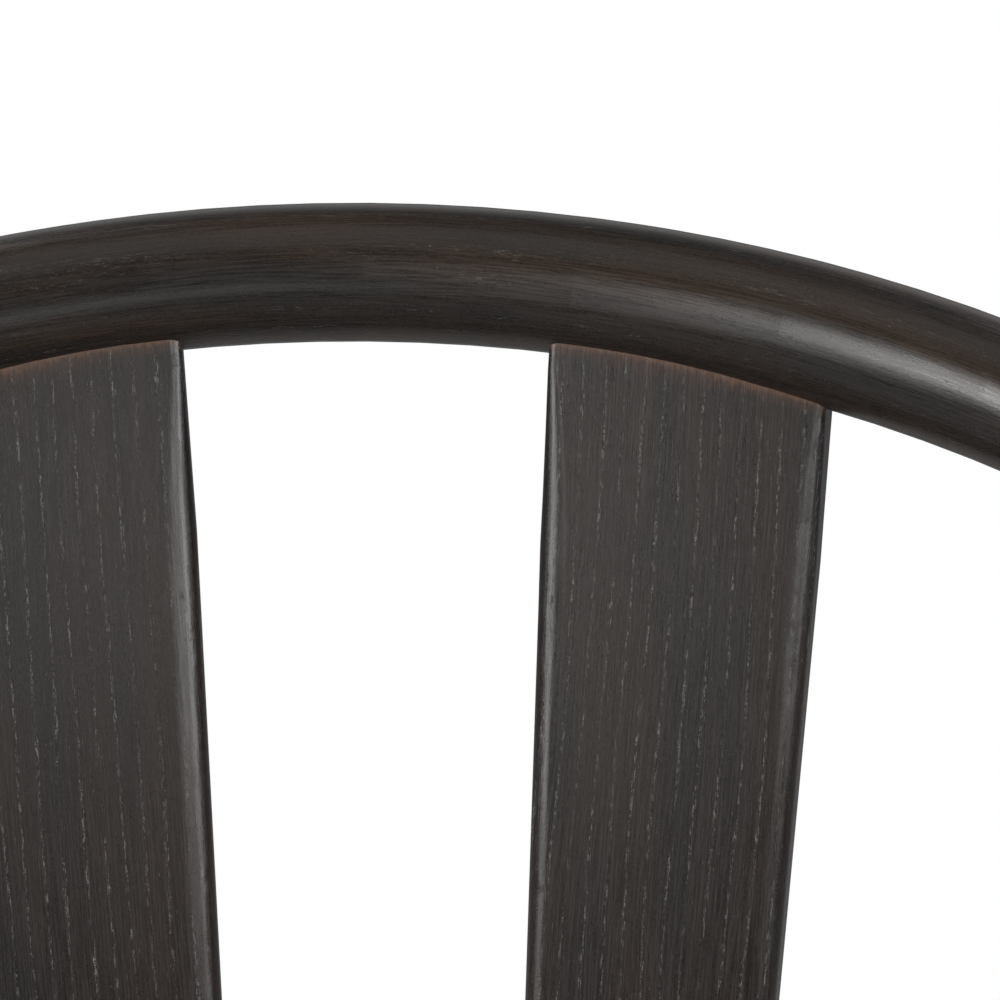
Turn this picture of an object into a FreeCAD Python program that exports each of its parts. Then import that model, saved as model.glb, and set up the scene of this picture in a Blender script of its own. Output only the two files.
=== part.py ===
"""A hoop-back dining chair in solid wood: a round bow bent in two directions, four flat slats that
spread like spokes, a saddled seat of three boards, turned legs wedged through it, and stretchers.

Millimetres. +Z is up, the sitter faces -Y, and +X is to the right as seen from the front.
The origin is on the floor, under the middle of the chair from front to back.
"""
import FreeCAD
import Part

import math
import os

Vec = FreeCAD.Vector
X_AXIS = Vec(1, 0, 0)
Z_AXIS = Vec(0, 0, 1)

# Seat. Distances from front to back are taken from the line of the slats.
SEAT_HEIGHT = 450.0        # floor to the flat deck round the saddle
SEAT_THICKNESS = 34.0
SEAT_FRONT_REACH = 402.0
SEAT_BACK_MARGIN = 30.0    # wood behind the line of the slats
SEAT_BACK_WIDTH = 416.0    # between the rear corners before rounding
SEAT_MID_WIDTH = 456.0     # at the widest
SEAT_FRONT_WIDTH = 424.0   # between the front corners before rounding
SEAT_FRONT_BOW = 16.0      # how far the front edge bulges past its corners
SEAT_REAR_CORNER_R = 40.0
SEAT_FRONT_CORNER_R = 60.0
SEAT_TOP_ROUND = 5.0
SEAT_UNDER_CHAMFER = 11.0
SEAT_BOARDS = 3

# Saddle, the hollow carved in the seat
SADDLE_DEPTH = 11.0
SADDLE_HALF_WIDTH = 208.0
SADDLE_GUTTER = 26.0       # flat deck left in front of the line of the slats
SADDLE_REAR_LENGTH = 180.0
SADDLE_FRONT_LENGTH = 284.0
POMMEL_RISE = 3.0
POMMEL_HALF_WIDTH = 40.0
POMMEL_LENGTH = 120.0

# Dowels that line up the seat boards
DOWEL_D = 10.0
DOWEL_LENGTH = 50.0
DOWEL_REACH = 114.0        # from the line of the slats to the rearmost dowel
DOWEL_PITCH = 90.0
DOWELS_PER_JOINT = 3

# Back. Heights are taken up the lean, from the deck.
BACK_RAKE = 12.0           # degrees that the back leans from upright
BACK_HEIGHT = 416.0        # to the middle of the bow at its crown
BACK_WRAP_R = 344.0        # the whole back is wrapped to this radius, seen from above
BOW_D = 25.0
BOW_CROWN_R = 386.0
BOW_SHOULDER_R = 110.0
BOW_WIDTH = 436.0          # between centres at the widest, measured round the wrap
BOW_SIDE_LEAN = 5.0        # degrees that the sides run in towards the seat
BOW_TENON_D = 18.0

# Slats
SLAT_COUNT = 4
SLAT_TOP_PITCH = 119.6     # between slat centres, level with the crown
SLAT_SEAT_PITCH = 72.0     # between slat centres, at the seat
SLAT_THICKNESS = 14.0
SLAT_FORWARD = 1.3         # the slats' middle lies this far in front of the bow's
SLAT_TOP_WIDTH = 50.2
SLAT_SEAT_WIDTH = 33.6
SLAT_PARALLEL = 45.0       # the taper starts this far below the bow's middle
SLAT_TOP_ROUND = 1.6       # depth of the rounded arrises, crisp where they meet the bow
SLAT_ROUND = 4.0           # and well rounded lower down
SLAT_ROUND_RUN = 48.0      # the full rounding is reached this far below the bow's middle
SLAT_ROUND_REACH = 1.35    # times the depth that an arris reaches in over the slat's face
SLAT_FACING = 0.3          # how far up its run, from the seat, a slat faces as the back does
SLAT_TENON_THICKNESS = 7.0
SLAT_TENON_SHOULDER = 6.0  # on each side of the tenon
SLAT_TENON_PAST_MIDDLE = 3.0
SLAT_SEAT_TENON = 20.0

# Legs
LEG_TENON_D = 25.0
LEG_SWELL_D = 36.0
LEG_FOOT_D = 24.0
LEG_SWELL_SHARE = 0.36     # of the way from the neck to the floor
LEG_NECK = 12.0            # plain length of tenon size below the seat
FRONT_LEG_X = 150.0
FRONT_LEG_REACH = 325.0
FRONT_SPLAY_SIDE = 7.0     # degrees
FRONT_SPLAY_OUT = 7.0      # degrees
REAR_LEG_X = 140.0
REAR_LEG_REACH = 66.0
REAR_SPLAY_SIDE = 6.0      # degrees
REAR_SPLAY_OUT = 16.0      # degrees

# Wedges in the through tenons of the legs and the bow
LEG_WEDGE_DEPTH = 26.0
BOW_WEDGE_DEPTH = 20.0
WEDGE_THICK_END = 3.6
WEDGE_THIN_END = 0.8

# Stretchers
STRETCHER_HEIGHT = 186.0
SIDE_STRETCHER_D = 25.0
SIDE_TENON_D = 15.0
SIDE_TENON_DEPTH = 19.0
CROSS_STRETCHER_D = 24.0
CROSS_TENON_D = 13.0
CROSS_TENON_DEPTH = 15.0

# Glides under the feet
GLIDE_D = 18.0
GLIDE_HEIGHT = 5.0
GLIDE_RIM_R = 2.0
NAIL_D = 2.2
NAIL_LENGTH = 16.0
NAIL_HEAD_D = 6.0
NAIL_HEAD_HEIGHT = 1.2
NAIL_COVER = 1.6           # plastic under the nail's head

GLUE_GAP = 0.08            # all round each tenon, dowel and nail

RAKE = math.radians(BACK_RAKE)
SIDE_LEAN = math.radians(BOW_SIDE_LEAN)
BOW_R = BOW_D / 2
UNDERSIDE = SEAT_HEIGHT - SEAT_THICKNESS
LEG_SHAPED = UNDERSIDE - LEG_NECK
SWELL_RUN = LEG_SHAPED * LEG_SWELL_SHARE
OUT_OF_BACK = Vec(0, -math.cos(RAKE), math.sin(RAKE))
UP_THE_BACK = Vec(0, math.sin(RAKE), math.cos(RAKE))


# Shared shapes

def frame(origin, across, along):
    """A placement whose Z runs along one direction, and whose X is as near as can be to another."""
    z = Vec(along).normalize()
    y = z.cross(across).normalize()
    return FreeCAD.Placement(origin, FreeCAD.Rotation(y.cross(z), y, z, "ZXY"))


def rod(start, direction, diameter, length):
    return Part.makeCylinder(diameter / 2, length, start, direction)


def all_below(height):
    size = SEAT_MID_WIDTH + SEAT_FRONT_REACH + BACK_HEIGHT
    return Part.makeBox(2 * size, 2 * size, size, Vec(-size, -size, height - size))


def level_edges(shape, height):
    return [edge for edge in shape.Edges
            if all(abs(vertex.Z - height) < 0.01 for vertex in edge.Vertexes)]


def biggest_solid(shape):
    return max(shape.Solids, key=lambda solid: solid.Volume)


def revolved(outline, start, along):
    """A closed outline in the XZ plane, turned about Z and then laid along a direction."""
    turned = Part.Face(Part.Wire(outline)).revolve(Vec(0, 0, 0), Z_AXIS, 360)
    is_steep = abs(along.z) > along.Length / 2
    turned.Placement = frame(start, X_AXIS if is_steep else Z_AXIS, along)
    return turned


def line(*points):
    return [Part.LineSegment(p, q).toShape() for p, q in zip(points, points[1:])]


def arc(first, middle, last):
    return Part.Arc(first, middle, last).toShape()


# The back is drawn on a flat sheet, with a across it and v up it from the deck. The sheet leans by
# the rake and is wrapped round the sitter.

def on_back(a, v, forward=0.0):
    turn = a / BACK_WRAP_R
    radius = BACK_WRAP_R - forward
    out = BACK_WRAP_R - radius * math.cos(turn)
    return Vec(radius * math.sin(turn), 0, SEAT_HEIGHT) + OUT_OF_BACK * out + UP_THE_BACK * v


def facing(a):
    """The direction that the front of the sheet faces at a place across it."""
    turn = a / BACK_WRAP_R
    return OUT_OF_BACK * math.cos(turn) - X_AXIS * math.sin(turn)


def heading_on_back(a, fall):
    """The direction of a line on the sheet that falls to the right by an angle."""
    turn = a / BACK_WRAP_R
    across = X_AXIS * math.cos(turn) + OUT_OF_BACK * math.sin(turn)
    return across * math.cos(fall) - UP_THE_BACK * math.sin(fall)


# Bow: a crown arc, a shoulder arc and a straight side in each half

SHOULDER_A = BOW_WIDTH / 2 - BOW_SHOULDER_R
CROWN_TURN = math.asin(SHOULDER_A / (BOW_CROWN_R - BOW_SHOULDER_R))
CROWN_CENTRE_V = BACK_HEIGHT - BOW_CROWN_R
SHOULDER_V = CROWN_CENTRE_V + (BOW_CROWN_R - BOW_SHOULDER_R) * math.cos(CROWN_TURN)
SIDE_TURN = math.pi / 2 + SIDE_LEAN
SIDE_TOP_A = SHOULDER_A + BOW_SHOULDER_R * math.sin(SIDE_TURN)
SIDE_TOP_V = SHOULDER_V + BOW_SHOULDER_R * math.cos(SIDE_TURN)


def bow_side_at(v):
    return SIDE_TOP_A - (SIDE_TOP_V - v) * math.tan(SIDE_LEAN)


def bow_at(turn):
    """(a, v, fall) on the right half, where the bow has turned by an angle since the crown."""
    if turn < CROWN_TURN:
        return BOW_CROWN_R * math.sin(turn), CROWN_CENTRE_V + BOW_CROWN_R * math.cos(turn), turn
    return (SHOULDER_A + BOW_SHOULDER_R * math.sin(turn),
            SHOULDER_V + BOW_SHOULDER_R * math.cos(turn), turn)


def bow_over(a):
    """(v, fall) of the bow straight above a place across the back."""
    size = abs(a)
    if size < BOW_CROWN_R * math.sin(CROWN_TURN):
        turn = math.asin(size / BOW_CROWN_R)
    else:
        turn = math.asin((size - SHOULDER_A) / BOW_SHOULDER_R)
    return bow_at(turn)[1], math.copysign(turn, a)


def bow_foot(side):
    """Where the bow's middle line meets the deck, and its direction down into the seat."""
    v = 0.0
    for _ in range(8):
        v -= (on_back(bow_side_at(v), v).z - SEAT_HEIGHT) / UP_THE_BACK.z
    a = side * bow_side_at(v)
    return on_back(a, v), heading_on_back(a, side * SIDE_TURN) * side


def arc_from(start, heading, end):
    chord = end - start
    bend = chord.getAngle(heading)
    if bend < 1e-6:
        return line(start, end)[0]
    bulge = (heading - chord * (heading.dot(chord) / chord.dot(chord))).normalize()
    return arc(start, (start + end) * 0.5 + bulge * (chord.Length / 2 * math.tan(bend / 2)), end)


def arc_pair(start, start_heading, end, end_heading):
    """Two arcs that meet smoothly and join two points with given directions."""
    chord = end - start
    both = chord.dot(start_heading + end_heading)
    spread = 2 * (1 - start_heading.dot(end_heading))
    reach = (math.sqrt(both ** 2 + spread * chord.dot(chord)) - both) / spread
    middle = (start + end + (start_heading - end_heading) * reach) * 0.5
    middle_heading = (end - start - (start_heading + end_heading) * reach).normalize()
    return [arc_from(start, start_heading, middle), arc_from(middle, middle_heading, end)]


def bow_pipe():
    """The whole bow as a round bar, from below the deck on one side to below it on the other."""
    shoulder_turn = SIDE_TURN - CROWN_TURN
    turns = [0, CROWN_TURN / 2, CROWN_TURN, CROWN_TURN + shoulder_turn / 2, SIDE_TURN]
    right = [bow_at(turn) for turn in turns]
    v_end = -BACK_WRAP_R * math.tan(RAKE)
    right.append((bow_side_at(v_end), v_end, SIDE_TURN))
    stations = [(-a, v, -fall) for a, v, fall in reversed(right[1:])] + right
    path = []
    for (a, v, fall), (next_a, next_v, next_fall) in zip(stations, stations[1:]):
        path += arc_pair(on_back(a, v), heading_on_back(a, fall),
                         on_back(next_a, next_v), heading_on_back(next_a, next_fall))
    a, v, fall = stations[0]
    ring = Part.makeCircle(BOW_R, on_back(a, v), heading_on_back(a, fall))
    return Part.Wire(path).makePipeShell([Part.Wire(ring)], True, False)


def bow_tenon(side, gap):
    foot, down = bow_foot(side)
    tenon = rod(foot - down * BOW_D, down, BOW_TENON_D + 2 * gap, BOW_D + 2 * SEAT_THICKNESS)
    return tenon.cut(all_below(UNDERSIDE))


def wedge(place, depth, diameter):
    """A wedge across a round tenon. Its thick end is at the placement, and it tapers along Z."""
    thick, thin = WEDGE_THICK_END / 2, WEDGE_THIN_END / 2
    over = diameter
    thicker = thick + (thick - thin) * over / depth
    profile = line(Vec(-diameter, -thicker, -over), Vec(-diameter, thicker, -over),
                   Vec(-diameter, thin, depth), Vec(-diameter, -thin, depth),
                   Vec(-diameter, -thicker, -over))
    blade = Part.Face(Part.Wire(profile)).extrude(X_AXIS * 2 * diameter)
    blade = blade.common(rod(Vec(0, 0, -over), Z_AXIS, diameter, depth + over))
    blade.Placement = place
    return blade


def bow_wedge(side):
    foot, down = bow_foot(side)
    end = foot + down * (SEAT_THICKNESS / -down.z)
    return wedge(frame(end, X_AXIS, -down), BOW_WEDGE_DEPTH, BOW_TENON_D).cut(all_below(UNDERSIDE))


def make_bow(pipe):
    bow = biggest_solid(pipe.cut(all_below(SEAT_HEIGHT)))
    bow = bow.fuse([bow_tenon(side, 0.0) for side in (-1, 1)])
    bow = bow.cut([slat_bow_tenon(rank, GLUE_GAP) for rank in SLAT_RANKS])
    return bow.cut([bow_wedge(side) for side in (-1, 1)])


# Slats, counted from the middle of the back: -1.5, -0.5, 0.5 and 1.5

SLAT_RANKS = [i - (SLAT_COUNT - 1) / 2 for i in range(SLAT_COUNT)]
SLAT_SPREAD = (SLAT_TOP_PITCH - SLAT_SEAT_PITCH) / BACK_HEIGHT


def slat_line(rank):
    """(a, v, fall of the bow) where a slat's middle line crosses the bow's."""
    v, fall = BACK_HEIGHT, 0.0
    for _ in range(20):
        a = rank * (SLAT_SEAT_PITCH + SLAT_SPREAD * v)
        v, fall = bow_over(a)
    return a, v, fall


def slat_frame(rank):
    """(placement, length): Z runs up the slat's middle line from the deck to the bow's middle,
    X lies across the slat and Y points out of its back."""
    top_a, top_v, _ = slat_line(rank)
    foot_a = rank * SLAT_SEAT_PITCH
    top = on_back(top_a, top_v, SLAT_FORWARD)
    foot = on_back(foot_a, 0, SLAT_FORWARD)
    along = top - foot
    foot -= along * ((foot.z - SEAT_HEIGHT) / along.z)
    across = along.cross(facing(foot_a + (top_a - foot_a) * SLAT_FACING))
    return frame(foot, across, along), (top - foot).Length


def slat_width(down, length):
    """Width at a distance down from the bow's middle."""
    share = max(0.0, down - SLAT_PARALLEL) / (length - SLAT_PARALLEL)
    return SLAT_TOP_WIDTH + (SLAT_SEAT_WIDTH - SLAT_TOP_WIDTH) * share


def slat_rounding(down):
    share = min(1.0, max(0.0, (down - BOW_R) / (SLAT_ROUND_RUN - BOW_R)))
    return SLAT_TOP_ROUND + (SLAT_ROUND - SLAT_TOP_ROUND) * math.sin(share * math.pi / 2)


def eased_corner(start, corner, end):
    """A curve like a quarter of an ellipse, level with the two sides of a corner."""
    ease = 4 * (math.sqrt(2) - 1) / 3
    curve = Part.BezierCurve()
    curve.setPoles([start, start + (corner - start) * ease, end + (corner - end) * ease, end])
    return curve.toShape()


def rounded_section(width, thickness, depth, height):
    """A level rectangle with eased corners, as one closed wire."""
    x, y = width / 2, thickness / 2
    corners = []
    for sign_x, sign_y in ((1, 1), (-1, 1), (-1, -1), (1, -1)):
        corner = Vec(sign_x * x, sign_y * y, height)
        on_edge = corner - Vec(0, sign_y * depth, 0)
        on_face = corner - Vec(sign_x * depth * SLAT_ROUND_REACH, 0, 0)
        if sign_x == sign_y:
            corners.append((on_edge, corner, on_face))
        else:
            corners.append((on_face, corner, on_edge))
    edges = []
    for corner, following in zip(corners, corners[1:] + corners[:1]):
        edges.append(eased_corner(*corner))
        edges += line(corner[2], following[0])
    return Part.Wire(edges)


def slat_blank(length):
    """The slat before its ends are fitted: it runs past the deck and past the bow's middle."""
    steps = 3
    downs = [BOW_R + (SLAT_ROUND_RUN - BOW_R) * i / steps for i in range(steps + 1)]
    downs = sorted([-BOW_R, SLAT_PARALLEL, length + BOW_D] + downs)
    sections = [rounded_section(slat_width(down, length), SLAT_THICKNESS, slat_rounding(down),
                                length - down) for down in downs]
    return Part.makeLoft(sections, True, True)


def slat_bow_tenon(rank, gap):
    """The tenon in the bow. Its end lies parallel to the bow."""
    place, length = slat_frame(rank)
    _, _, fall = slat_line(rank)
    fall -= math.atan(rank * SLAT_SPREAD)
    x = SLAT_TOP_WIDTH / 2 - SLAT_TENON_SHOULDER + gap
    y = SLAT_TENON_THICKNESS / 2 + gap
    end = length + (SLAT_TENON_PAST_MIDDLE + gap) / math.cos(fall)
    drop = x * math.tan(fall)
    root = length - BOW_D - SLAT_TOP_WIDTH / 2
    outline = line(Vec(-x, -y, root), Vec(x, -y, root), Vec(x, -y, end - drop),
                   Vec(-x, -y, end + drop), Vec(-x, -y, root))
    tenon = Part.Face(Part.Wire(outline)).extrude(Vec(0, 2 * y, 0))
    tenon.Placement = place
    return tenon


def slat_seat_tenon(rank, gap):
    place, _ = slat_frame(rank)
    x = SLAT_SEAT_WIDTH / 2 - SLAT_TENON_SHOULDER + gap
    y = SLAT_TENON_THICKNESS / 2 + gap
    depth = SLAT_SEAT_TENON + gap
    tenon = Part.makeBox(2 * x, 2 * y, depth + BOW_D, Vec(-x, -y, -depth))
    tenon.Placement = place
    return tenon


def make_slat(rank, pipe):
    place, length = slat_frame(rank)
    slat = slat_blank(length)
    slat.Placement = place
    slat = biggest_solid(slat.cut([pipe, all_below(SEAT_HEIGHT)]))
    return slat.fuse([slat_bow_tenon(rank, 0.0), slat_seat_tenon(rank, 0.0)])


# Seat

def seat_outline():
    """The seat's plan with sharp corners, level with its underside."""
    back_r = BACK_WRAP_R + SEAT_BACK_MARGIN
    rear_x, front_x, middle_x = SEAT_BACK_WIDTH / 2, SEAT_FRONT_WIDTH / 2, SEAT_MID_WIDTH / 2
    rear_y = SEAT_BACK_MARGIN - back_r + math.sqrt(back_r ** 2 - rear_x ** 2)
    front_y = SEAT_FRONT_BOW - SEAT_FRONT_REACH
    middle_y = (rear_y + front_y) / 2
    z = UNDERSIDE
    rear_left, rear_right = Vec(-rear_x, rear_y, z), Vec(rear_x, rear_y, z)
    front_left, front_right = Vec(-front_x, front_y, z), Vec(front_x, front_y, z)
    return Part.Wire([
        arc(rear_left, Vec(0, SEAT_BACK_MARGIN, z), rear_right),
        arc(rear_right, Vec(middle_x, middle_y, z), front_right),
        arc(front_right, Vec(0, -SEAT_FRONT_REACH, z), front_left),
        arc(front_left, Vec(-middle_x, middle_y, z), rear_left),
    ])


def upright_edges(shape, front):
    """The upright corner edges of the front half or the rear half."""
    half_way = -SEAT_FRONT_REACH / 2
    return [edge for edge in shape.Edges
            if abs(edge.Vertexes[0].Z - edge.Vertexes[-1].Z) > SEAT_THICKNESS / 2
            and abs(edge.Vertexes[0].X) > SADDLE_HALF_WIDTH / 2
            and (edge.Vertexes[0].Y < half_way) == front]


def seat_blank():
    block = Part.Face(seat_outline()).extrude(Z_AXIS * (SEAT_THICKNESS + POMMEL_RISE))
    block = block.makeFillet(SEAT_REAR_CORNER_R, upright_edges(block, front=False))
    block = block.makeFillet(SEAT_FRONT_CORNER_R, upright_edges(block, front=True))
    block = block.makeChamfer(SEAT_UNDER_CHAMFER, level_edges(block, UNDERSIDE))
    block = block.cut(above_seat())
    rim = max(block.Faces, key=lambda face: face.BoundBox.Center.z).OuterWire
    return block.makeFillet(SEAT_TOP_ROUND, rim.Edges)


def saddle_depth(x, y):
    """How far the hollow lies under the deck."""
    along = y + SADDLE_GUTTER + SADDLE_REAR_LENGTH
    length = SADDLE_REAR_LENGTH if along > 0 else SADDLE_FRONT_LENGTH
    spread = min(1.0, (x / SADDLE_HALF_WIDTH) ** 2 + (along / length) ** 2)
    share = min(1.0, max(0.0, (POMMEL_LENGTH - SEAT_FRONT_REACH - y) / POMMEL_LENGTH))
    pommel = POMMEL_RISE * share ** 2 * math.exp(-(x / POMMEL_HALF_WIDTH) ** 2)
    return SADDLE_DEPTH * (1 - spread ** 2) ** 3 - pommel


def above_seat():
    """All that lies above the seat's carved top."""
    columns, rows = 27, 25
    margin = SEAT_BACK_MARGIN
    half_x = SEAT_MID_WIDTH / 2 + margin
    y_start = -SEAT_FRONT_REACH - margin
    y_end = SEAT_BACK_MARGIN + margin
    grid = []
    for i in range(columns):
        x = half_x * (2 * i / (columns - 1) - 1)
        ys = [y_start + (y_end - y_start) * j / (rows - 1) for j in range(rows)]
        grid.append([Vec(x, y, SEAT_HEIGHT - saddle_depth(x, y)) for y in ys])
    surface = Part.BSplineSurface()
    surface.interpolate(grid)
    return surface.toShape().extrude(Z_AXIS * SEAT_THICKNESS)


def dowels(gap):
    board = SEAT_MID_WIDTH / SEAT_BOARDS
    z = (UNDERSIDE + SEAT_HEIGHT - SADDLE_DEPTH) / 2
    made = []
    for joint in range(1, SEAT_BOARDS):
        x = joint * board - SEAT_MID_WIDTH / 2 - DOWEL_LENGTH / 2 - gap
        for k in range(DOWELS_PER_JOINT):
            start = Vec(x, -DOWEL_REACH - k * DOWEL_PITCH, z)
            made.append(rod(start, X_AXIS, DOWEL_D + 2 * gap, DOWEL_LENGTH + 2 * gap))
    return made


def make_seat_boards():
    sockets = dowels(GLUE_GAP)
    sockets += [leg_socket(name) for name in LEGS]
    sockets += [bow_tenon(side, GLUE_GAP) for side in (-1, 1)]
    sockets += [slat_seat_tenon(rank, GLUE_GAP) for rank in SLAT_RANKS]
    seat = seat_blank().cut(sockets)
    board = SEAT_MID_WIDTH / SEAT_BOARDS
    depth = 2 * (SEAT_FRONT_REACH + SEAT_BACK_MARGIN)
    boards = []
    for i in range(SEAT_BOARDS):
        corner = Vec(i * board - SEAT_MID_WIDTH / 2, -depth, 0)
        boards.append(seat.common(Part.makeBox(board, 2 * depth, 2 * SEAT_HEIGHT, corner)))
    return boards


# Legs

def leg_line(x, reach, side_splay, out_splay, out_sign):
    """(point on the deck, direction down) of a leg's middle line."""
    side = math.copysign(math.tan(math.radians(side_splay)), x)
    out = math.tan(math.radians(out_splay)) * out_sign
    return Vec(x, -reach, SEAT_HEIGHT), Vec(side, out, -1).normalize()


LEGS = {
    "front_left": leg_line(-FRONT_LEG_X, FRONT_LEG_REACH, FRONT_SPLAY_SIDE, FRONT_SPLAY_OUT, -1),
    "front_right": leg_line(FRONT_LEG_X, FRONT_LEG_REACH, FRONT_SPLAY_SIDE, FRONT_SPLAY_OUT, -1),
    "rear_left": leg_line(-REAR_LEG_X, REAR_LEG_REACH, REAR_SPLAY_SIDE, REAR_SPLAY_OUT, 1),
    "rear_right": leg_line(REAR_LEG_X, REAR_LEG_REACH, REAR_SPLAY_SIDE, REAR_SPLAY_OUT, 1),
}


def leg_at(name, height):
    """The point of a leg's middle line at a height above the floor."""
    start, down = LEGS[name]
    return start + down * ((SEAT_HEIGHT - height) / -down.z)


def arc_drop(at, run, drop):
    """How far an arc has dropped at a distance along it. It starts level and drops by so much
    over its run."""
    radius = (run ** 2 + drop ** 2) / (2 * drop)
    return radius - math.sqrt(radius ** 2 - at ** 2)


def leg_radius(height):
    """Two equal arcs swell out from the neck, and one long arc tapers to the foot."""
    neck, swell, foot = LEG_TENON_D / 2, LEG_SWELL_D / 2, LEG_FOOT_D / 2
    down = LEG_SHAPED - height
    if down > SWELL_RUN:
        return swell - arc_drop(down - SWELL_RUN, LEG_SHAPED - SWELL_RUN, swell - foot)
    half_rise = (swell - neck) / 2
    if down > SWELL_RUN / 2:
        return swell - arc_drop(SWELL_RUN - down, SWELL_RUN / 2, half_rise)
    return neck + arc_drop(down, SWELL_RUN / 2, half_rise)


def leg_socket(name):
    start, down = LEGS[name]
    return rod(start - down * LEG_TENON_D, down, LEG_TENON_D + 2 * GLUE_GAP,
               LEG_TENON_D + 2 * SEAT_THICKNESS)


def leg_turning(name):
    """The leg as it comes off the lathe, with spare length above the deck and below the floor."""
    start, down = LEGS[name]
    slant = 1 / -down.z
    swell_z = LEG_SHAPED - SWELL_RUN
    heights = [LEG_SHAPED - SWELL_RUN * i / 4 for i in range(5)] + [swell_z / 2, 0]
    shaped = [Vec(leg_radius(z), 0, (SEAT_HEIGHT - z) * slant) for z in heights]
    over = LEG_TENON_D
    neck_end = (SEAT_THICKNESS + LEG_NECK) * slant
    floor = SEAT_HEIGHT * slant
    outline = [arc(*shaped[i:i + 3]) for i in (0, 2, 4)]
    outline += line(Vec(LEG_FOOT_D / 2, 0, floor), Vec(LEG_FOOT_D / 2, 0, floor + over),
                    Vec(0, 0, floor + over), Vec(0, 0, -over), Vec(LEG_TENON_D / 2, 0, -over),
                    Vec(LEG_TENON_D / 2, 0, neck_end))
    return revolved(outline, start, down)


def leg_wedge(name):
    start, down = LEGS[name]
    return wedge(frame(start, X_AXIS, down), LEG_WEDGE_DEPTH, LEG_TENON_D)


def make_leg(name):
    side = -1 if name.endswith("left") else 1
    leg = biggest_solid(leg_turning(name).cut([above_seat(), all_below(GLIDE_HEIGHT)]))
    return leg.cut([leg_wedge(name), side_stretcher(side, GLUE_GAP), nail(name, GLUE_GAP)])


def make_leg_wedge(name):
    return leg_wedge(name).cut(above_seat())


# Stretchers

def turned_bar(start, end, middle_d, tenon_d, tenon_depth, surface, gap):
    """A bar that swells from its tenons to its middle. It runs between two middle lines. Each
    tenon goes in by its depth, from a surface at a distance from the line."""
    along = end - start
    neck = tenon_d / 2 + gap
    blind = surface - tenon_depth - gap
    swell_start = surface + neck / 2
    low, high = Vec(0, 0, blind), Vec(0, 0, along.Length - blind)
    low_neck = Vec(neck, 0, swell_start)
    high_neck = Vec(neck, 0, along.Length - swell_start)
    outline = [arc(low_neck, Vec(middle_d / 2, 0, along.Length / 2), high_neck)]
    outline += line(high_neck, high + X_AXIS * neck, high, low, low + X_AXIS * neck, low_neck)
    return revolved(outline, start, along)


def side_stretcher_ends(side):
    hand = "left" if side < 0 else "right"
    return leg_at("front_" + hand, STRETCHER_HEIGHT), leg_at("rear_" + hand, STRETCHER_HEIGHT)


def side_stretcher(side, gap):
    front, rear = side_stretcher_ends(side)
    return turned_bar(front, rear, SIDE_STRETCHER_D, SIDE_TENON_D, SIDE_TENON_DEPTH,
                      leg_radius(STRETCHER_HEIGHT), gap)


def cross_stretcher(gap):
    ends = []
    for side in (-1, 1):
        front, rear = side_stretcher_ends(side)
        ends.append((front + rear) / 2)
    return turned_bar(ends[0], ends[1], CROSS_STRETCHER_D, CROSS_TENON_D, CROSS_TENON_DEPTH,
                      SIDE_STRETCHER_D / 2, gap)


# Glides

def nail(name, gap):
    foot = leg_at(name, GLIDE_HEIGHT)
    shank = rod(Vec(foot.x, foot.y, NAIL_COVER), Z_AXIS, NAIL_D + 2 * gap, NAIL_LENGTH + gap)
    head = rod(Vec(foot.x, foot.y, NAIL_COVER - gap), Z_AXIS, NAIL_HEAD_D + 2 * gap,
               NAIL_HEAD_HEIGHT + 2 * gap)
    return head.fuse(shank)


def make_glide(name):
    foot = leg_at(name, GLIDE_HEIGHT)
    disc = rod(Vec(foot.x, foot.y, 0), Z_AXIS, GLIDE_D, GLIDE_HEIGHT)
    return disc.makeFillet(GLIDE_RIM_R, level_edges(disc, 0.0)).cut(nail(name, GLUE_GAP))


def build():
    pipe = bow_pipe()
    nodes = {"bow": make_bow(pipe)}
    nodes["bow_wedge_left"] = bow_wedge(-1)
    nodes["bow_wedge_right"] = bow_wedge(1)
    for i, rank in enumerate(SLAT_RANKS):
        nodes["back_slat_" + str(i + 1)] = make_slat(rank, pipe)
    for i, board in enumerate(make_seat_boards()):
        nodes["seat_board_" + str(i + 1)] = board
    nodes["seat_dowels"] = Part.makeCompound(dowels(0.0))
    for name in LEGS:
        nodes["leg_" + name] = make_leg(name)
        nodes["leg_wedge_" + name] = make_leg_wedge(name)
        nodes["glide_" + name] = make_glide(name)
    nodes["glide_nails"] = Part.makeCompound([nail(name, 0.0) for name in LEGS])
    nodes["side_stretcher_left"] = side_stretcher(-1, 0.0).cut(cross_stretcher(GLUE_GAP))
    nodes["side_stretcher_right"] = side_stretcher(1, 0.0).cut(cross_stretcher(GLUE_GAP))
    nodes["cross_stretcher"] = cross_stretcher(0.0)
    return nodes


def main():
    crown_back = on_back(0, BACK_HEIGHT).y + BOW_R
    foot_back = leg_at("rear_left", 0).y + LEG_FOOT_D / 2
    to_middle = Vec(0, (SEAT_FRONT_REACH - max(crown_back, foot_back)) / 2, 0)
    os.makedirs("parts", exist_ok=True)
    for name, shape in build().items():
        shape.translate(to_middle)
        shape.exportStep("parts/" + name + ".step")


main()
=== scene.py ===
"""Looks for the wheelback chair: stained open-pored wood, plastic glides, a pale floor and soft
studio light. Metres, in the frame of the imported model.

Grain runs along each piece. Every wooden node gets its grain coordinates, in millimetres, as an
attribute of its vertices: across the piece, through it, and along it.
"""

import math

import bpy
import numpy as np
from mathutils import Matrix, Vector


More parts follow.
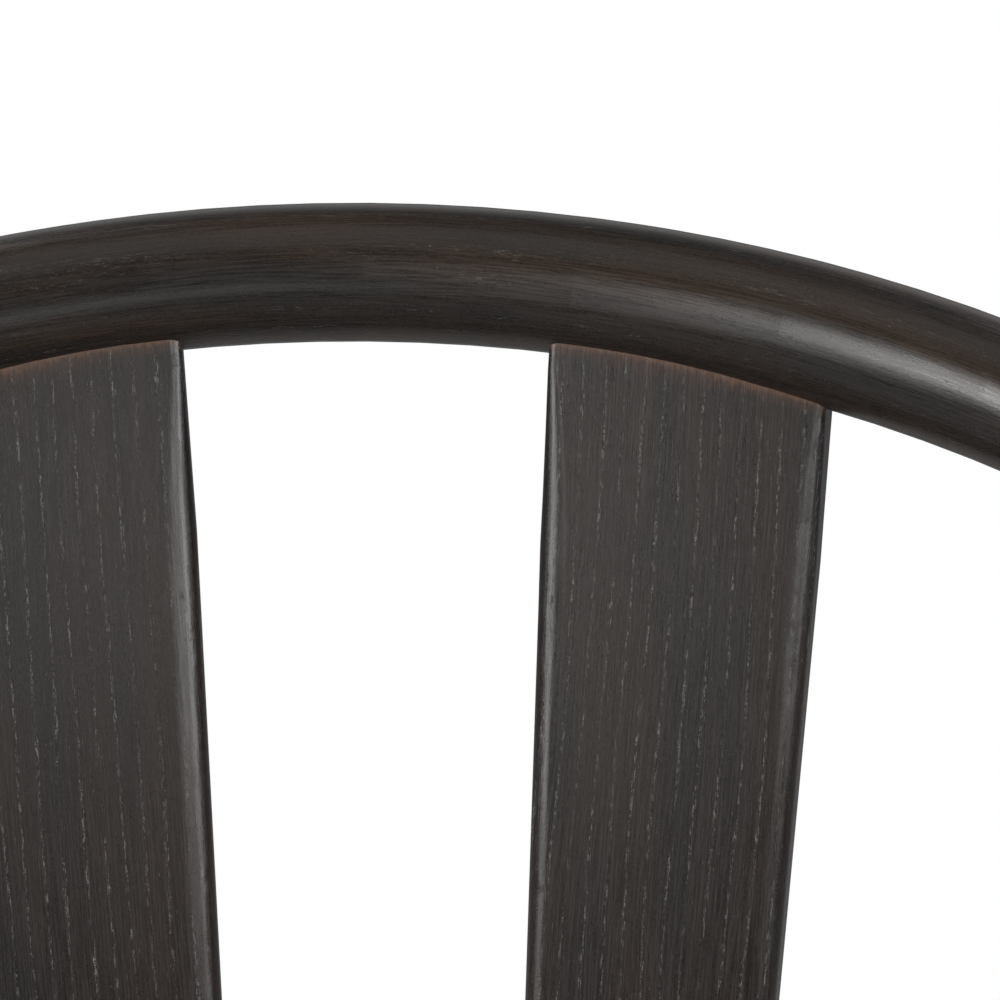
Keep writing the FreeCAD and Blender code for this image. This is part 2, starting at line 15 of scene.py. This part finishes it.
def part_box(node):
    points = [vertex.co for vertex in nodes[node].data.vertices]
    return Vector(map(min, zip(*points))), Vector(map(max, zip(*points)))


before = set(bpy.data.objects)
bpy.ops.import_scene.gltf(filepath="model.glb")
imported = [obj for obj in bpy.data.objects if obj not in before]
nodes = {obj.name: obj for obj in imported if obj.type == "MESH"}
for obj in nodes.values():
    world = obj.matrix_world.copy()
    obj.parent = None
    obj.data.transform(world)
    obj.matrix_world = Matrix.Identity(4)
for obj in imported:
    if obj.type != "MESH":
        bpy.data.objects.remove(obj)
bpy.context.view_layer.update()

# The back, as the model's source draws it: on a leaning sheet that is wrapped round the sitter
RAKE = math.radians(12.0)
WRAP_R = 0.344
BOW_R = 0.0125
CROWN_R = 0.386
SHOULDER_R = 0.110
BOW_WIDTH = 0.436
SIDE_TURN = math.radians(95.0)

SHOULDER_A = BOW_WIDTH / 2 - SHOULDER_R
CROWN_TURN = math.asin(SHOULDER_A / (CROWN_R - SHOULDER_R))
SHOULDER_V = (CROWN_R - SHOULDER_R) * math.cos(CROWN_TURN) - CROWN_R

X_AXIS = Vector((1, 0, 0))
OUT_OF_BACK = Vector((0, -math.cos(RAKE), math.sin(RAKE)))
UP_THE_BACK = Vector((0, math.sin(RAKE), math.cos(RAKE)))
bow_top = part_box("bow")[1]
CROWN = Vector((0, bow_top.y - BOW_R, bow_top.z - BOW_R))

# Camera, measured from the bow's crown along the axes of the back
SENSOR = 36.0
LENS = 161.32
CAMERA_X = 0.077817
CAMERA_OUT = 0.793265
CAMERA_UP = 0.132573
YAW = math.radians(-3.915)
PITCH = math.radians(12.361)
ROLL = math.radians(-0.1809)

# Wood. Sizes across, through and along the grain are in millimetres, the others in metres.
PORE_SIZE = (0.19, 0.19, 1.9)
PORE_ROW = 0.85        # where in a growth ring its row of pores lies
FILLER_COVER = 0.80    # how much of a pore the pale filler hides
OPEN_DEPTH = 0.80      # how much of an open pore is dark
PAINTED_SHADE_REACH = 0.008    # how far from another piece the painted shade reaches
FINE_RELIEF = 0.00003
WORN_DEEP = (0.070, 0.035, 0.021, 1)
WORN_PALE = (0.150, 0.078, 0.047, 1)

# Floor. It keeps the shadow out to the near radius and is white from the far one on.
FLOOR_RADIUS = 12.0
FLOOR_NEAR = 0.55
FLOOR_FAR = 1.25
FLOOR_TONE = (0.78, 0.78, 0.78, 1)
FLOOR_LIFT = 0.30      # the glow that lifts the shadow
FLOOR_IN_REFLECTIONS = (0.25, 0.25, 0.25, 1)

# Lamps: name, azimuth and elevation in degrees, distance, width, height, and brightness, where 1
# is white
LAMPS = (
    ("softbox_left", -31, 22, 1.9, 0.38, 0.95, 16.0),
    ("strip_left", -66, -6, 1.9, 1.25, 0.45, 7.0),
    ("strip_front_left", -22, -3, 1.9, 0.36, 0.24, 4.0),
    ("strip_front", 6, -1, 1.9, 0.66, 0.24, 2.2),
    ("strip_front_right", 34, -3, 1.9, 0.95, 0.30, 5.4),
    ("strip_right", 68, -6, 1.9, 1.15, 0.45, 7.5),
    ("softbox_top", 0, 85, 2.2, 1.6, 1.6, 0.5),
    ("softbox_side_left", -105, 30, 1.9, 1.20, 1.20, 5.0),
    ("softbox_side_right", 105, 35, 1.9, 1.20, 1.20, 2.0),
    ("softbox_rear_left", -135, 35, 2.2, 1.00, 1.00, 4.5),
    ("softbox_rear_right", 135, 35, 2.2, 1.00, 1.00, 4.5),
)

# Studio walls: dim round the chair, and brighter behind it. The edge and the core say how nearly
# a direction points straight behind, where 1 is exactly so.
WALLS = 0.05
WALL_BEHIND = 0.45
WALL_EDGE = 0.80
WALL_CORE = 0.97


# Grain coordinates

def points_of(obj):
    flat = np.zeros(len(obj.data.vertices) * 3)
    obj.data.vertices.foreach_get("co", flat)
    return flat.reshape(-1, 3)


def on_sheet(points):
    """Across, up and forward of points, on the sheet that the back is drawn on."""
    local = points - np.array(CROWN)
    out = local @ np.array(OUT_OF_BACK)
    turn = np.arctan2(local[:, 0], WRAP_R - out)
    forward = WRAP_R - np.hypot(local[:, 0], WRAP_R - out)
    return WRAP_R * turn, local @ np.array(UP_THE_BACK), forward


def beside_bow(points):
    """How far each point lies outside the bow's middle line, in front of it and along it.

    This holds near the bow. Deep inside the hoop, where a shoulder's circle would close, the first
    of the three comes out too small.
    """
    across, up, forward = on_sheet(points)
    side = np.where(across < 0, -1.0, 1.0)
    across = np.abs(across)
    crown_turn = np.arctan2(across, up + CROWN_R)
    shoulder_turn = np.arctan2(across - SHOULDER_A, up - SHOULDER_V)
    outside = np.hypot(across, up + CROWN_R) - CROWN_R
    along = CROWN_R * crown_turn
    shoulder = crown_turn > CROWN_TURN
    shoulder_run = CROWN_R * CROWN_TURN + SHOULDER_R * (shoulder_turn - CROWN_TURN)
    from_a, from_v = across - SHOULDER_A, up - SHOULDER_V
    outside = np.where(shoulder, np.hypot(from_a, from_v) - SHOULDER_R, outside)
    along = np.where(shoulder, shoulder_run, along)
    straight = shoulder & (shoulder_turn > SIDE_TURN)
    out_a, out_v = math.sin(SIDE_TURN), math.cos(SIDE_TURN)
    side_run = CROWN_R * CROWN_TURN + SHOULDER_R * (SIDE_TURN - CROWN_TURN)
    outside = np.where(straight, from_a * out_a + from_v * out_v - SHOULDER_R, outside)
    along = np.where(straight, side_run + from_a * out_v - from_v * out_a, along)
    return outside, forward, along * side


def along_piece(obj, points):
    """Coordinates across, through and along a straight piece, by its own longest directions."""
    faces = obj.data.polygons
    area = np.zeros(len(faces))
    centre = np.zeros(len(faces) * 3)
    faces.foreach_get("area", area)
    faces.foreach_get("center", centre)
    centre = centre.reshape(-1, 3)
    middle = (centre * area[:, None]).sum(0) / area.sum()
    spread = (centre - middle) * np.sqrt(area)[:, None]
    axes = np.linalg.eigh(spread.T @ spread)[1]
    local = (points - middle) @ axes
    return local[:, 1], local[:, 0], local[:, 2]


def add_grain(obj, coordinates, start):
    """Writes the grain attribute. The start is where the piece lay in its plank, in millimetres."""
    grain = obj.data.attributes.new("grain", "FLOAT_VECTOR", "POINT")
    values = np.stack(coordinates, axis=1) * 1000 + np.array(start)
    grain.data.foreach_set("vector", values.astype(np.float32).ravel())


def add_joint(obj, points):
    """Writes how far below the bow's surface each vertex lies, in millimetres.

    It comes out too small at the outer edges of the two middle slats, about 0.24 m below the crown,
    and a small worn spot shows there.
    """
    outside, forward = beside_bow(points)[:2]
    joint = obj.data.attributes.new("joint", "FLOAT", "POINT")
    values = (np.hypot(outside, forward) - BOW_R) * 1000
    joint.data.foreach_set("value", values.astype(np.float32))


# Materials

class Graph:
    """Short names for the few kinds of shader node that the materials use."""

    def __init__(self, name):
        self.material = bpy.data.materials.new(name)
        self.material.use_nodes = True
        self.tree = self.material.node_tree
        self.shader = self.tree.nodes["Principled BSDF"]
        self.surface = self.tree.nodes["Material Output"].inputs["Surface"]

    def put(self, socket, value):
        if isinstance(value, bpy.types.NodeSocket):
            self.tree.links.new(value, socket)
        else:
            socket.default_value = value

    def node(self, kind, **settings):
        made = self.tree.nodes.new("ShaderNode" + kind)
        for key, value in settings.items():
            setattr(made, key, value)
        return made

    def attribute(self, name, output):
        return self.node("Attribute", attribute_name=name).outputs[output]

    def math(self, operation, first, second=0.0):
        made = self.node("Math", operation=operation)
        self.put(made.inputs[0], first)
        self.put(made.inputs[1], second)
        return made.outputs[0]

    def scaled(self, vector, scale):
        made = self.node("VectorMath", operation="MULTIPLY")
        self.put(made.inputs[0], vector)
        made.inputs[1].default_value = scale
        return made.outputs[0]

    def added(self, first, second):
        made = self.node("VectorMath", operation="ADD")
        self.put(made.inputs[0], first)
        self.put(made.inputs[1], second)
        return made.outputs[0]

    def grey(self, value):
        made = self.node("CombineXYZ")
        for socket in made.inputs:
            self.put(socket, value)
        return made.outputs[0]

    def shaded(self, colour, tone):
        """A colour made lighter or darker, where a tone of 1 leaves it as it is."""
        return self.mix(1.0, colour, self.grey(tone), blend="MULTIPLY")

    def relief(self, height, distance):
        bump = self.node("Bump")
        bump.inputs["Distance"].default_value = distance
        self.put(bump.inputs["Height"], height)
        self.put(self.shader.inputs["Normal"], bump.outputs["Normal"])

    def noise(self, vector, size, detail=2.0, roughness=0.5, output="Fac"):
        """Noise whose spots have a size, in millimetres, across, through and along the grain."""
        made = self.node("TexNoise")
        self.put(made.inputs["Vector"], self.scaled(vector, [1 / s for s in size]))
        made.inputs["Scale"].default_value = 1.0
        made.inputs["Detail"].default_value = detail
        made.inputs["Roughness"].default_value = roughness
        return made.outputs[output]

    def step(self, value, low, high, to_low=0.0, to_high=1.0):
        """A smooth step between two values."""
        made = self.node("MapRange", interpolation_type="SMOOTHSTEP")
        for name, setting in (("Value", value), ("From Min", low), ("From Max", high),
                              ("To Min", to_low), ("To Max", to_high)):
            self.put(made.inputs[name], setting)
        return made.outputs["Result"]

    def mix(self, share, first, second, blend="MIX"):
        made = self.node("Mix", data_type="RGBA", blend_type=blend)
        self.put(made.inputs[0], share)
        self.put(made.inputs[6], first)
        self.put(made.inputs[7], second)
        return made.outputs[2]


def growth_phase(g, grain, ring):
    """Where each point lies within its growth ring, from 0 to 1. The ring is in millimetres."""
    radial = g.node("VectorMath", operation="LENGTH")
    g.put(radial.inputs[0], g.scaled(grain, (1, 1, 0)))
    phase = g.math("DIVIDE", radial.outputs["Value"], ring)
    phase = g.math("ADD", phase, g.noise(grain, (14, 14, 120)))
    return g.math("FRACT", phase)


def pore_rows(g, grain, phase, pore_low, pore_high):
    """Chains of short dashes, dense in one row of each ring and rare between the rows.

    A pore shows where noise passes a level: the low one in the rows and the high one elsewhere.
    """
    row = g.step(g.math("ABSOLUTE", g.math("SUBTRACT", phase, PORE_ROW)), 0.03, 0.13, 1.0, 0.0)
    dashes = g.noise(grain, PORE_SIZE, detail=1.0)
    threshold = g.step(row, 0.0, 1.0, pore_high, pore_low)
    pores = g.step(dashes, threshold, g.math("ADD", threshold, 0.08))
    breaks = g.step(g.noise(grain, (0.35, 0.35, 0.40), detail=1.0), 0.40, 0.54)
    clumps = g.step(g.noise(grain, (1.5, 1.5, 9.0)), 0.30, 0.62, 0.25, 1.0)
    return g.math("MULTIPLY", g.math("MULTIPLY", pores, breaks), clumps)


def worn_below_joint(g, grain, fibre, colour):
    """Stain rubbed through where a slat meets the bow: a thin pale line that fades into brown."""
    ragged = g.noise(grain, (0.5, 0.5, 1.2), detail=3.0)
    edge = g.math("SUBTRACT", g.attribute("joint", "Fac"), g.step(ragged, 0.3, 0.7, 0.0, 0.6))
    stained = g.step(edge, 0.1, 2.2, 0.65, 0.0)
    rubbed = g.step(edge, -0.2, 0.5, 0.60, 0.0)
    stained = g.math("MULTIPLY", stained, g.step(fibre, 0.3, 0.7, 0.45, 1.0))
    return g.mix(rubbed, g.mix(stained, colour, WORN_DEEP), WORN_PALE)


def wood(name, dark, brown, pore, ring, pore_low, pore_high, roughness, fill=0.50, joint=False):
    """Stained open-pored wood, with growth rings of one width in millimetres.

    The fill is the level of noise above which pores hold pale filler and don't stay open. A piece
    with a joint is worn where it meets the bow.
    """
    g = Graph(name)
    grain = g.attribute("grain", "Vector")
    sway = g.noise(grain, (40, 40, 160), output="Color")
    sway = g.scaled(g.added(sway, (-0.5, -0.5, -0.5)), (5.0, 5.0, 0.0))
    grain = g.added(grain, sway)

    phase = growth_phase(g, grain, ring)
    early = g.step(phase, 0.70, 0.95)
    pores = pore_rows(g, grain, phase, pore_low, pore_high)
    filled = g.step(g.noise(grain, (2.5, 2.5, 16)), fill - 0.08, fill + 0.10)

    fibre = g.noise(grain, (0.30, 0.30, 12), detail=3.0, roughness=0.6)
    streak = g.noise(grain, (1.6, 1.6, 70))
    broad = g.noise(grain, (11, 11, 90), detail=3.0)
    speck = g.noise(grain, (0.22, 0.22, 0.5))

    colour = g.mix(g.step(broad, 0.35, 0.70), dark, brown)
    tone = g.math("ADD", g.step(fibre, 0.3, 0.7, 0.80, 1.20), g.step(streak, 0.3, 0.7, -0.08, 0.08))
    tone = g.math("ADD", tone, g.step(speck, 0.3, 0.7, -0.30, 0.30))
    tone = g.math("SUBTRACT", tone, g.math("MULTIPLY", early, 0.07))
    colour = g.shaded(colour, tone)
    pale_pores = g.math("MULTIPLY", pores, g.math("MULTIPLY", filled, FILLER_COVER))
    colour = g.mix(pale_pores, colour, pore)
    open_pores = g.math("MULTIPLY", pores, g.math("SUBTRACT", 1.0, filled))
    hollow = [c * 0.25 for c in dark[:3]] + [1]
    colour = g.mix(g.math("MULTIPLY", open_pores, OPEN_DEPTH), colour, hollow)
    if joint:
        colour = worn_below_joint(g, grain, fibre, colour)
    # Painted shade: an occlusion probe darkens the base colour where another piece is near
    shade_probe = g.node("AmbientOcclusion", samples=6)
    shade_probe.inputs["Distance"].default_value = PAINTED_SHADE_REACH
    darkest_painted_shade = 0.45 if joint else 0.12
    painted_shade = g.step(shade_probe.outputs["AO"], 0.40, 0.95, darkest_painted_shade, 1.0)
    g.put(g.shader.inputs["Base Color"], g.shaded(colour, painted_shade))

    rough = g.step(fibre, 0.25, 0.75, roughness - 0.05, roughness + 0.07)
    g.put(g.shader.inputs["Roughness"], g.math("ADD", rough, g.math("MULTIPLY", pores, 0.25)))

    height = g.math("ADD", g.math("MULTIPLY", fibre, 0.8), g.math("MULTIPLY", speck, 0.4))
    height = g.math("SUBTRACT", height, g.math("MULTIPLY", pores, 1.2))
    g.relief(height, FINE_RELIEF)
    return g.material


def plastic(name, colour):
    g = Graph(name)
    where = g.scaled(g.node("NewGeometry").outputs["Position"], (1000, 1000, 1000))
    grainy = g.noise(where, (0.25, 0.25, 0.25))
    scuff = g.noise(where, (3.0, 3.0, 0.6), detail=3.0)
    worn = g.step(scuff, 0.5, 0.75, 0.0, 0.5)
    g.put(g.shader.inputs["Base Color"], g.mix(worn, colour, (0.10, 0.095, 0.09, 1)))
    g.put(g.shader.inputs["Roughness"], g.step(scuff, 0.3, 0.7, 0.42, 0.62))
    g.relief(grainy, FINE_RELIEF)
    return g.material


def steel(name):
    g = Graph(name)
    where = g.scaled(g.node("NewGeometry").outputs["Position"], (1000, 1000, 1000))
    drawn = g.noise(where, (0.15, 0.15, 2.0))
    g.put(g.shader.inputs["Base Color"], g.mix(drawn, (0.50, 0.50, 0.51, 1), (0.62, 0.62, 0.63, 1)))
    g.shader.inputs["Metallic"].default_value = 1.0
    g.put(g.shader.inputs["Roughness"], g.step(drawn, 0.3, 0.7, 0.25, 0.42))
    return g.material


rail_wood = wood("rail_wood", (0.0175, 0.0148, 0.0134, 1), (0.0310, 0.0195, 0.0128, 1),
                 (0.10, 0.092, 0.085, 1), ring=3.2, pore_low=0.600, pore_high=0.74, roughness=0.27)
slat_wood = wood("slat_wood", (0.0190, 0.0156, 0.0142, 1), (0.0265, 0.0190, 0.0152, 1),
                 (0.21, 0.20, 0.19, 1), ring=3.6, pore_low=0.520, pore_high=0.72, roughness=0.25,
                 fill=0.38, joint=True)
turned_wood = wood("turned_wood", (0.0140, 0.0120, 0.0112, 1), (0.0250, 0.0170, 0.0125, 1),
                   (0.11, 0.10, 0.095, 1), ring=3.4, pore_low=0.580, pore_high=0.72, roughness=0.29)
seat_wood = wood("seat_wood", (0.0145, 0.0125, 0.0118, 1), (0.0250, 0.0175, 0.0132, 1),
                 (0.12, 0.11, 0.105, 1), ring=4.2, pore_low=0.540, pore_high=0.71, roughness=0.42)
wedge_wood = wood("wedge_wood", (0.050, 0.038, 0.031, 1), (0.075, 0.052, 0.038, 1),
                  (0.12, 0.10, 0.09, 1), ring=2.5, pore_low=0.64, pore_high=0.72, roughness=0.5)
dowel_wood = wood("dowel_wood", (0.50, 0.36, 0.22, 1), (0.58, 0.42, 0.27, 1),
                  (0.40, 0.27, 0.16, 1), ring=2.8, pore_low=0.64, pore_high=0.72, roughness=0.55)
black_plastic = plastic("black_plastic", (0.022, 0.022, 0.022, 1))
bright_steel = steel("bright_steel")


def dress(name, material):
    mesh = nodes[name].data
    mesh.materials.clear()
    mesh.materials.append(material)


for rank, name in enumerate(sorted(nodes)):
    if name.startswith("glide_"):
        dress(name, bright_steel if name == "glide_nails" else black_plastic)
        continue
    obj = nodes[name]
    points = points_of(obj)
    if name == "bow":
        add_grain(obj, beside_bow(points), (19.0, 42.0, 0.0))
        dress(name, rail_wood)
        continue
    plank = (70.0 + 9.0 * rank, 25.0 - 5.0 * rank, 500.0 * rank)
    add_grain(obj, along_piece(obj, points), plank)
    if name.startswith("back_slat"):
        add_joint(obj, points)
        dress(name, slat_wood)
    elif name.startswith("seat_board"):
        dress(name, seat_wood)
    elif name == "seat_dowels":
        dress(name, dowel_wood)
    elif "wedge" in name:
        dress(name, wedge_wood)
    else:
        dress(name, turned_wood)


# Floor

def diffuse(g, colour):
    made = g.node("BsdfDiffuse")
    made.inputs["Color"].default_value = colour
    return made.outputs[0]


def glow(g, strength):
    made = g.node("Emission")
    made.inputs["Strength"].default_value = strength
    return made.outputs[0]


def blended(g, share, first, second):
    made = g.node("MixShader")
    for socket, value in zip(made.inputs, (share, first, second)):
        g.put(socket, value)
    return made.outputs[0]


def make_floor():
    """A pale floor that keeps the shadow near the chair and turns white further out."""
    bpy.ops.mesh.primitive_circle_add(vertices=96, radius=FLOOR_RADIUS, fill_type="NGON")
    floor = bpy.context.object
    floor.name = "floor"
    g = Graph("floor")
    g.tree.nodes.remove(g.shader)
    away = g.node("VectorMath", operation="LENGTH")
    g.put(away.inputs[0], g.node("NewGeometry").outputs["Position"])
    far = g.step(away.outputs["Value"], FLOOR_NEAR, FLOOR_FAR)
    pale = diffuse(g, FLOOR_TONE)
    near = g.node("AddShader")
    g.put(near.inputs[0], pale)
    g.put(near.inputs[1], glow(g, FLOOR_LIFT))
    path = g.node("LightPath").outputs
    seen = blended(g, far, near.outputs[0], glow(g, 1.0))
    unseen = blended(g, path["Is Glossy Ray"], pale, diffuse(g, FLOOR_IN_REFLECTIONS))
    g.put(g.surface, blended(g, path["Is Camera Ray"], unseen, seen))
    floor.data.materials.append(g.material)


make_floor()


# Light

def direction(azimuth, elevation):
    """A direction from the chair. Azimuth 0 is in front, and 90 is at the right as seen from there."""
    turn, rise = math.radians(azimuth), math.radians(elevation)
    level = math.cos(rise)
    return Vector((math.sin(turn) * level, -math.cos(turn) * level, math.sin(rise)))


def softbox(name, azimuth, elevation, distance, width, height, brightness):
    """A rectangular lamp that faces the crown of the bow."""
    light = bpy.data.lights.new(name, "AREA")
    light.shape = "RECTANGLE"
    light.size = width
    light.size_y = height
    light.energy = brightness * math.pi * width * height
    lamp = bpy.data.objects.new(name, light)
    lamp.location = CROWN + direction(azimuth, elevation) * distance
    lamp.rotation_euler = (CROWN - lamp.location).to_track_quat("-Z", "Y").to_euler()
    bpy.context.scene.collection.objects.link(lamp)


for lamp in LAMPS:
    softbox(*lamp)


def make_world():
    """White where the camera sees it, and dim studio walls for everything else."""
    world = bpy.data.worlds.new("studio")
    bpy.context.scene.world = world
    world.use_nodes = True
    tree = world.node_tree
    background = tree.nodes["Background"]
    sky = tree.nodes.new("ShaderNodeTexCoord")
    split = tree.nodes.new("ShaderNodeSeparateXYZ")
    tree.links.new(sky.outputs["Generated"], split.inputs[0])
    behind = tree.nodes.new("ShaderNodeMapRange")
    behind.interpolation_type = "SMOOTHSTEP"
    behind.inputs["From Min"].default_value = WALL_EDGE
    behind.inputs["From Max"].default_value = WALL_CORE
    behind.inputs["To Min"].default_value = WALLS
    behind.inputs["To Max"].default_value = WALL_BEHIND
    tree.links.new(split.outputs["Y"], behind.inputs["Value"])
    path = tree.nodes.new("ShaderNodeLightPath")
    level = tree.nodes.new("ShaderNodeMix")
    level.data_type = "FLOAT"
    tree.links.new(path.outputs["Is Camera Ray"], level.inputs[0])
    tree.links.new(behind.outputs["Result"], level.inputs[2])
    level.inputs[3].default_value = 1.0
    tree.links.new(level.outputs[0], background.inputs["Strength"])
    background.inputs["Color"].default_value = (1, 1, 1, 1)


make_world()


# Camera

def add_camera():
    """The photograph's view. The camera is turned in the axes of the back: across, out and up."""
    level = math.cos(PITCH)
    ahead = Vector((math.sin(YAW) * level, -math.cos(YAW) * level, -math.sin(PITCH)))
    level_right = Vector((math.cos(YAW), math.sin(YAW), 0))
    level_up = ahead.cross(level_right)
    right = level_right * math.cos(ROLL) + level_up * math.sin(ROLL)
    up = level_up * math.cos(ROLL) - level_right * math.sin(ROLL)
    to_world = Matrix((X_AXIS, OUT_OF_BACK, UP_THE_BACK)).transposed()
    place = CROWN + to_world @ Vector((CAMERA_X, CAMERA_OUT, CAMERA_UP))
    turned = Matrix((to_world @ right, to_world @ up, -(to_world @ ahead))).transposed()
    lens = bpy.data.cameras.new("camera")
    lens.lens = LENS
    lens.sensor_width = SENSOR
    camera = bpy.data.objects.new("camera", lens)
    camera.matrix_world = Matrix.Translation(place) @ turned.to_4x4()
    bpy.context.scene.collection.objects.link(camera)
    bpy.context.scene.camera = camera


add_camera()

bpy.context.scene.view_settings.view_transform = "Standard"
